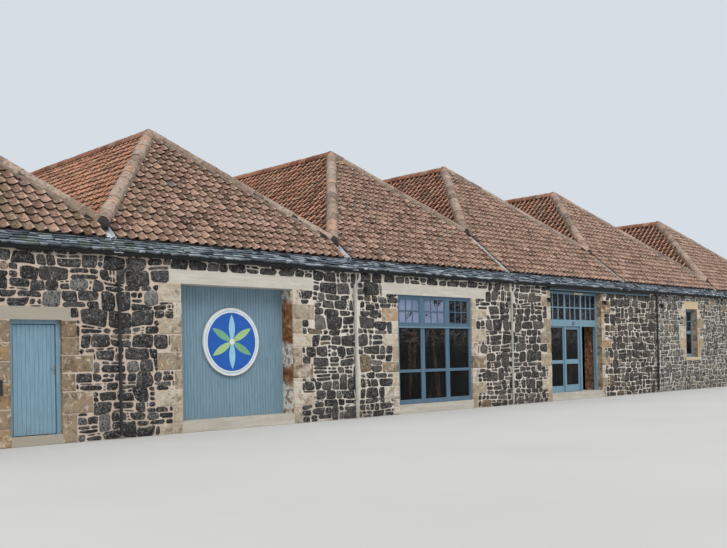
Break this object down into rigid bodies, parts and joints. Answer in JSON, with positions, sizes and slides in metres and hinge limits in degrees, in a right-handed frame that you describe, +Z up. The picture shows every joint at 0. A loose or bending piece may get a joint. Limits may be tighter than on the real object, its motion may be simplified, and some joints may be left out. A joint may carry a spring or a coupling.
{
  "type": "barn",
  "caption": "Long single-storey stone barn: parallel hipped pantile roofs, rubble walls, cart and window openings, two hinged doors and one hollow hall.",
  "frame": {"origin": "centre of the plan at ground level, on the underside of the floor", "axes": "+X along the front to the right, +Y from the front into the building, +Z up"},
  "size_m": [38.001, 17.02, 7.678],
  "materials": {
    "rubble_stone": "rough whinstone rubble in wide pale lime mortar",
    "sandstone": "tooled, weathered buff sandstone",
    "floor_stone": "worn stone flags",
    "clay_tile": "unglazed clay pantile with lichen and soot",
    "ridge_clay": "unglazed half-round clay tile, weathered",
    "slate": "riven grey slate",
    "lead": "dull weathered lead sheet",
    "old_timber": "old sawn timber",
    "cast_iron": "black painted iron",
    "pale_iron": "pale grey painted iron",
    "blue_paint": "blue-grey painted boards, satin",
    "light_blue_paint": "light blue painted joinery, satin",
    "window_paint": "steel blue painted joinery, satin",
    "sign_face": "painted round board",
    "white_beam": "pale rendered and weathered beam",
    "hood_paint": "light blue painted rail cover",
    "lamp_black": "black painted metal",
    "glass": "clear, slightly dusty glass"
  },
  "bodies": {
    "building": {"front_wall_piers": "rubble_stone", "rear_wall_piers": "rubble_stone", "side_wall_piers": "rubble_stone", "wall_under_windows": "rubble_stone", "wall_over_small_door": "rubble_stone", "front_wall_head": "rubble_stone", "rear_wall_head": "rubble_stone", "side_wall_heads": "rubble_stone", "entrance_beam": "white_beam", "front_lintels": "sandstone", "narrow_window_lintels": "sandstone", "narrow_window_sills": "sandstone", "thresholds": "sandstone", "floor": "floor_stone", "hipped_end_slopes": "clay_tile", "left_roof_slopes": "clay_tile", "right_roof_slopes": "clay_tile", "ridge_tiles": "ridge_clay", "hip_tiles": "ridge_clay", "long_eave_slates": "slate", "end_eave_slates": "slate", "valley_gutters": "lead", "valley_beams": "old_timber", "valley_posts": "old_timber", "narrow_window_sashes": "window_paint", "narrow_window_glass": "glass", "big_window_frame": "window_paint", "big_window_glass": "glass", "small_door_frame": "blue_paint", "cart_panel": "blue_paint", "round_sign": "sign_face", "entrance_posts": "light_blue_paint", "entrance_transom": "light_blue_paint", "entrance_top_frame": "light_blue_paint", "entrance_side_frame": "light_blue_paint", "entrance_glass": "glass", "door_hinges": "cast_iron", "rail_hood": "hood_paint", "black_downpipes": "cast_iron", "pale_downpipes": "pale_iron", "wall_lamps": "lamp_black"},
    "small_door": {"small_door": "blue_paint", "small_door_knob": "cast_iron"},
    "entrance_door": {"entrance_door": "light_blue_paint", "entrance_door_glass": "glass"}
  },
  "joints": [
    {"name": "small_door_swing", "type": "hinge", "parent": "building", "child": "small_door", "pos_m": [-14.6215, -8.219, 1.1], "axis": [0, 0, 1], "range_deg": [0, 90]},
    {"name": "entrance_door_swing", "type": "hinge", "parent": "building", "child": "entrance_door", "pos_m": [1.9135, -8.134, 1.2], "axis": [0, 0, 1], "range_deg": [0, 90]}
  ]
}
